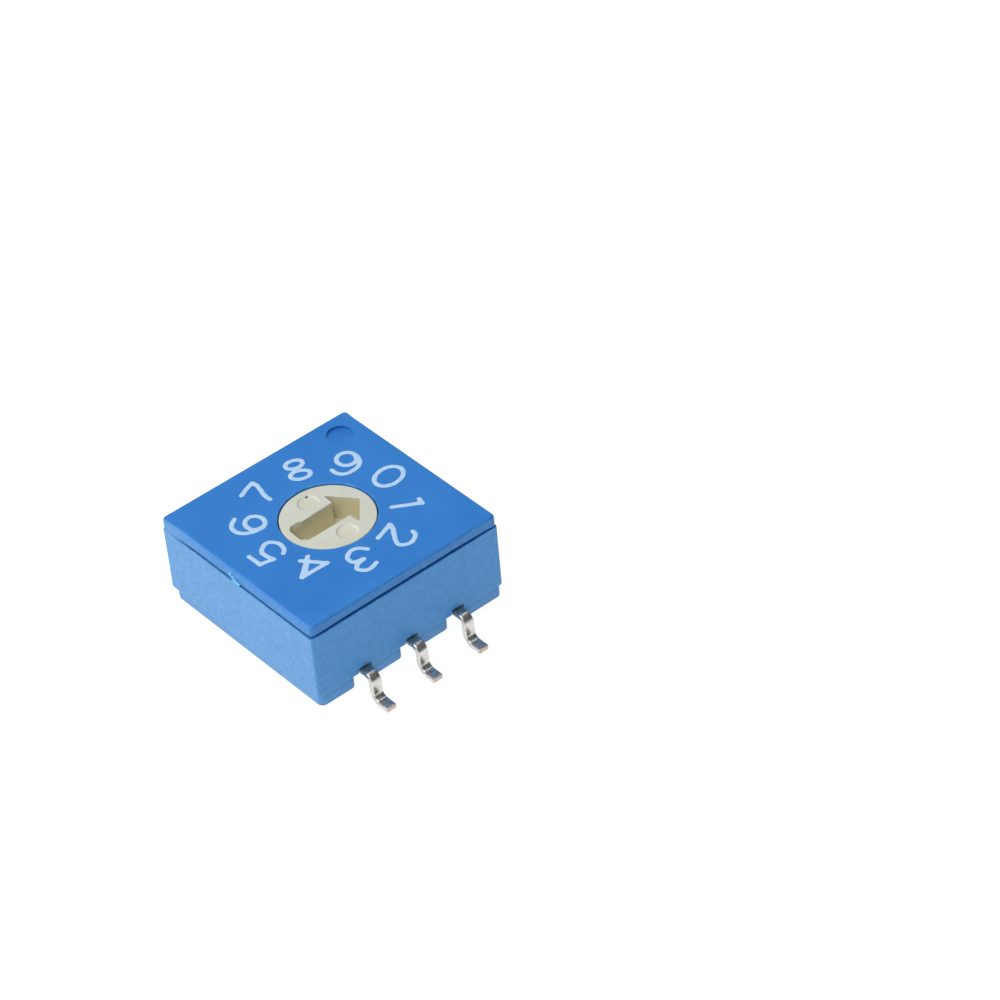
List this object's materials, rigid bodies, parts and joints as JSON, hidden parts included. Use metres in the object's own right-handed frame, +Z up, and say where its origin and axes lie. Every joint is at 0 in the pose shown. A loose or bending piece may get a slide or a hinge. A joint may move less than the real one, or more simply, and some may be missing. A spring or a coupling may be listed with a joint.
{
  "type": "binary coded rotary switch",
  "caption": "Square surface-mount coded rotary switch: blue moulded body, flush ivory dial with arrow slot and digits round it, gull-wing leads on opposite sides.",
  "frame": {"origin": "centre of the body in plan, on the plane of the undersides of the solder feet", "axes": "+Z up out of the dial; +X across the body towards the lead row 1, C, 4; +Y towards the digit 0, where the arrow points at rest"},
  "size_m": [0.0132, 0.01, 0.0051],
  "materials": {
    "blue_case": "matte moulded, glass filled",
    "ivory_dial": "matte moulded",
    "digit_ink": "pad-printed ink",
    "tinned_lead": "bright tin plate",
    "contact_gold": "gold-plated stamping",
    "spring_steel": "bright spring strip",
    "seal_rubber": "smooth moulded"
  },
  "bodies": {
    "case": {"cover": "blue_case", "housing": "blue_case", "base": "blue_case", "detent_spring": "spring_steel", "terminal_1": "tinned_lead", "terminal_2": "tinned_lead", "terminal_4": "tinned_lead", "terminal_8": "tinned_lead", "terminal_common": "tinned_lead"},
    "dial": {"rotor": "ivory_dial", "o_ring": "seal_rubber", "code_disc": "contact_gold"}
  },
  "joints": [
    {"name": "dial_turn", "type": "hinge", "parent": "case", "child": "dial", "pos_m": [0, 0, 0.0051], "axis": [0, 0, 1], "continuous": true, "deforming": ["detent_spring"]}
  ]
}
